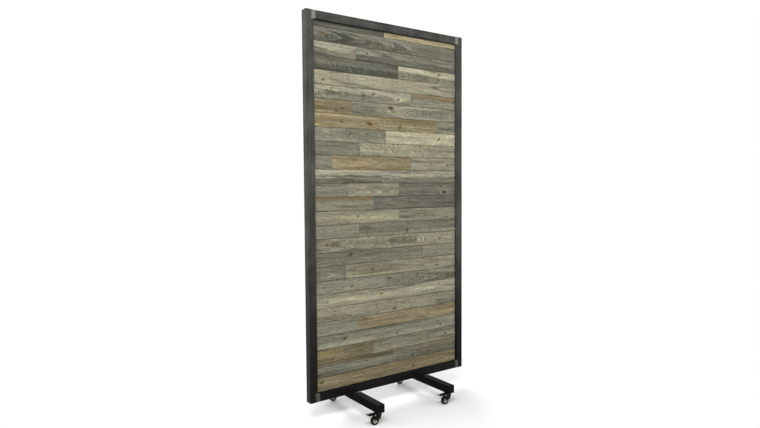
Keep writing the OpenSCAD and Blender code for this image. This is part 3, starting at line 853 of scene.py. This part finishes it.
def addBoard(bm, layers, board, faceY, backY):
    # a gridded face, eased and weathered, with its sides drawn back to the core
    low, high = board["low"], board["high"]
    width, height = high.x - low.x, high.z - low.z
    columns = max(4, round(width / boardWork["stepAlong"]))
    rows = max(6, round(height / boardWork["stepAcross"]))
    made = bmesh.ops.create_grid(bm, x_segments=columns, y_segments=rows, size=0.5)["verts"]
    inward = 1 if backY > faceY else -1
    seed = board["seed"]
    sawX, sawZ = math.cos(board["sawTurn"]), math.sin(board["sawTurn"])
    for vert in made:
        u, v = vert.co.x + 0.5, vert.co.y + 0.5
        v -= boardWork["crowding"] * math.sin(2 * math.pi * v) / (2 * math.pi)
        x, z = low.x + u * width, low.z + v * height
        along, ring, knot = grainOf(board, x, z)
        fromEnd = min(u, 1 - u) * width
        fromEdge = min(v, 1 - v) * height
        worn = max(0.0, noise.noise((x * 14, v * 3, seed + 5)))
        eased = boardWork["edgeRound"] + boardWork["edgeWear"] * worn
        inset = 0.0
        for distance in (fromEnd, fromEdge):
            if distance < eased:
                inset += eased - math.sqrt(eased ** 2 - (eased - distance) ** 2)
        chip = noise.noise((x * 31, v * 2, seed + 9)) - boardWork["chipsAbove"]
        if chip > 0 and fromEdge < boardWork["chipReach"]:
            inset += boardWork["chip"] * chip * 4 * (1 - fromEdge / boardWork["chipReach"])
        hills = noise.noise((along * 16, ring * 190, seed))
        hills += 0.6 * noise.noise((along * 5, ring * 55, seed + 3))
        inset += boardWork["relief"] * (1.4 + hills)
        inset += boardWork["knotDish"] * max(0.0, boardWork["knotRim"] - knot[0])
        wobble = 0.5 + 0.5 * noise.noise((x * 6, seed, 3 if v > 0.5 else 8))
        pull = boardWork["shrink"] * wobble * (1 - min(1.0, fromEdge / boardWork["shrinkReach"]))
        z += pull if v < 0.5 else -pull
        vert.co = (x, faceY + inward * min(inset, boardWork["deepest"]), z)
        vert[layers["grainAt"]] = (along, ring, seed * 0.13)
        vert[layers["boardTone"]] = toneAt(board, along, ring, v)
        vert[layers["boardMarks"]] = board["marks"]
        sawPhase = (x * sawX + z * sawZ) * 2 * math.pi / board["sawPitch"]
        vert[layers["acrossAt"]] = (v, sawPhase, board["crest"])
        vert[layers["knotAt"]] = knot
    rim = [edge for edge in bm.edges if edge.is_boundary]   # boards made before it are closed
    drawn = bmesh.ops.extrude_edge_only(bm, edges=rim)["geom"]
    for element in drawn:
        if isinstance(element, bmesh.types.BMVert):
            element.co.y = backY
    back = [element for element in drawn if isinstance(element, bmesh.types.BMEdge) and element.is_boundary]
    bmesh.ops.edgeloop_fill(bm, edges=back)


def boardGroup(face, number, finishes, seed):
    nodeName = f"{face}_boards_{number}"
    boxes = boardBoxes(nodeName)
    bm = bmesh.new()
    layers = {
        "grainAt": bm.verts.layers.float_vector.new("grainAt"),
        "boardTone": bm.verts.layers.float_color.new("boardTone"),
        "boardMarks": bm.verts.layers.float_color.new("boardMarks"),
        "acrossAt": bm.verts.layers.float_vector.new("acrossAt"),
        "knotAt": bm.verts.layers.float_vector.new("knotAt"),
    }
    heights = sorted({round(low.z, 3) for low, high in boxes})
    for level in heights:
        course = [box for box in boxes if round(box[0].z, 3) == level]
        words = finishes.pop()
        for index, (low, high) in enumerate(course):
            chance = random.Random(seed + 10 * len(finishes) + index)
            board = sawnBoard(low, high, words[index % len(words)], chance)
            faceY, backY = (low.y, high.y) if face == "front" else (high.y, low.y)
            addBoard(bm, layers, board, faceY, backY)
    bmesh.ops.recalc_face_normals(bm, faces=bm.faces)
    piece = newPiece(f"{face}Boards{number}", bm, woodFinish, boardWork["smoothAngle"])
    place(piece, "root", "reclaimed_wood", nodeName)


def makeBoards():
    for face, seed in (("front", boardWork["seed"]), ("back", boardWork["backSeed"])):
        finishes = list(frontFinishes)
        if face == "back":
            random.Random(seed).shuffle(finishes)
        for number in range(1, boardWork["groups"] + 1):
            boardGroup(face, number, finishes, seed)
    print("boards done")


makeBoards()


tubeWork = {
    "corner": 0.004,      # radius
    "cornerSteps": 6,
    "wall": 0.0021,
    "smoothAngle": 30,
}


def squareTube(name, nodeName, axis, material):
    # a rounded ring, extruded along the tube
    low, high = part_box(nodeName)
    middle = (low + high) / 2
    across = [other for other in range(3) if other != axis]
    side = high[across[0]] - low[across[0]]
    length = high[axis] - low[axis]
    bm = bmesh.new()
    bmesh.ops.create_grid(bm, x_segments=1, y_segments=1, size=side / 2)
    bmesh.ops.bevel(bm, geom=list(bm.verts), offset=tubeWork["corner"], offset_type="OFFSET",
                    segments=tubeWork["cornerSteps"], profile=0.5, affect="VERTICES", material=-1)
    core = bm.faces[:]
    bmesh.ops.inset_region(bm, faces=core, thickness=tubeWork["wall"],
                           use_even_offset=True, use_boundary=True)
    bmesh.ops.delete(bm, geom=core, context="FACES_ONLY")
    bmesh.ops.translate(bm, verts=bm.verts, vec=(0, 0, -length / 2))
    grown = bmesh.ops.extrude_face_region(bm, geom=bm.faces[:])["geom"]
    moved = [element for element in grown if isinstance(element, bmesh.types.BMVert)]
    bmesh.ops.translate(bm, verts=moved, vec=(0, 0, length))
    turn = (("Y", 90), ("X", 90), ("Z", 0))[axis]   # from upright to the tube's own axis
    lay = Matrix.Rotation(math.radians(turn[1]), 4, turn[0])
    bmesh.ops.transform(bm, verts=bm.verts, matrix=Matrix.Translation(middle) @ lay)
    bmesh.ops.recalc_face_normals(bm, faces=bm.faces)
    piece = newPiece(name, bm, material, tubeWork["smoothAngle"])
    weightNormals(piece)
    place(piece, "root", "frame_steel", nodeName)


for tubeName, tubeNode, tubeAxis, tubeFinish in (
    ("leftPost", "left_post", 2, postSteel),
    ("rightPost", "right_post", 2, postSteel),
    ("topRail", "top_rail", 0, shadedRailSteel),
    ("bottomRail", "bottom_rail", 0, shadedRailSteel),
    ("leftFoot", "left_foot", 1, footSteel),
    ("rightFoot", "right_foot", 1, footSteel),
):
    squareTube(tubeName, tubeNode, tubeAxis, tubeFinish)
print("tubes done")


# Pieces that keep the frame's shape: how far their sharp edges are eased
edgeWork = {
    "flatWithin": 0.5,    # degrees between two faces that are made one
    "sharperThan": 40,    # degrees between two faces whose edge is eased
    "postCaps": 0.0006,
    "footCaps": 0.0012,
    "casterStems": 0.0004,
    "fork": 0.0006,
    "axle": 0.0003,
    "hub": 0.0004,
    "pedal": 0.0005,
}


def easedCopy(name, nodeName, edge, material, slotName, body="root", steps=2):
    bm = bmesh.new()
    bm.from_mesh(nodes[nodeName].data)
    bmesh.ops.remove_doubles(bm, verts=bm.verts, dist=mergeReach)
    flat = math.radians(edgeWork["flatWithin"])
    bmesh.ops.dissolve_limit(bm, angle_limit=flat, verts=bm.verts, edges=bm.edges)
    least = math.radians(edgeWork["sharperThan"])
    sharp = [item for item in bm.edges if item.is_manifold and item.calc_face_angle(0) > least]
    bmesh.ops.bevel(bm, geom=sharp, offset=edge, offset_type="OFFSET", segments=steps, profile=0.5,
                    affect="EDGES", clamp_overlap=True, material=-1)
    piece = newPiece(name, bm, material)
    weightNormals(piece)
    place(piece, body, slotName, nodeName)


easedCopy("postCaps", "post_caps", edgeWork["postCaps"], postSteel, "frame_steel")
easedCopy("footCaps", "foot_caps", edgeWork["footCaps"], capPlastic, "cap_plastic", steps=3)
easedCopy("casterStems", "caster_stems", edgeWork["casterStems"], darkZinc, "zinc")


def finishNode(nodeName, material):
    mesh = nodes[nodeName].data
    mesh.materials.clear()
    mesh.materials.append(material)


for plainNode, plainFinish in (
    ("corner_welds", weldSteel),
    ("foot_welds", footWeldSteel),
    ("core_board", plywood),
    ("panel_lugs", shadedRailSteel),
    ("lug_screws", brightZinc),
    ("stem_nuts", brightZinc),
    ("swivel_balls", brightZinc),
):
    finishNode(plainNode, plainFinish)
print("caps, stems and welds done")


def makeCaster(number):
    for part, material, slotName, body in (
        ("fork", casterPaint, "caster_paint", "swivel"),
        ("axle", brightZinc, "zinc", "swivel"),
        ("hub", hubFinish, "hub_metal", "wheel"),
        ("pedal", casterPaint, "caster_paint", "brake"),
    ):
        own = f"caster_{number}_"
        easedCopy(f"{part}{number}", own + part, edgeWork[part], material, slotName, own + body)
    finishNode(f"caster_{number}_tyre", tyreRubber)


for casterNumber in (1, 2, 3, 4):
    makeCaster(casterNumber)
print("casters done")
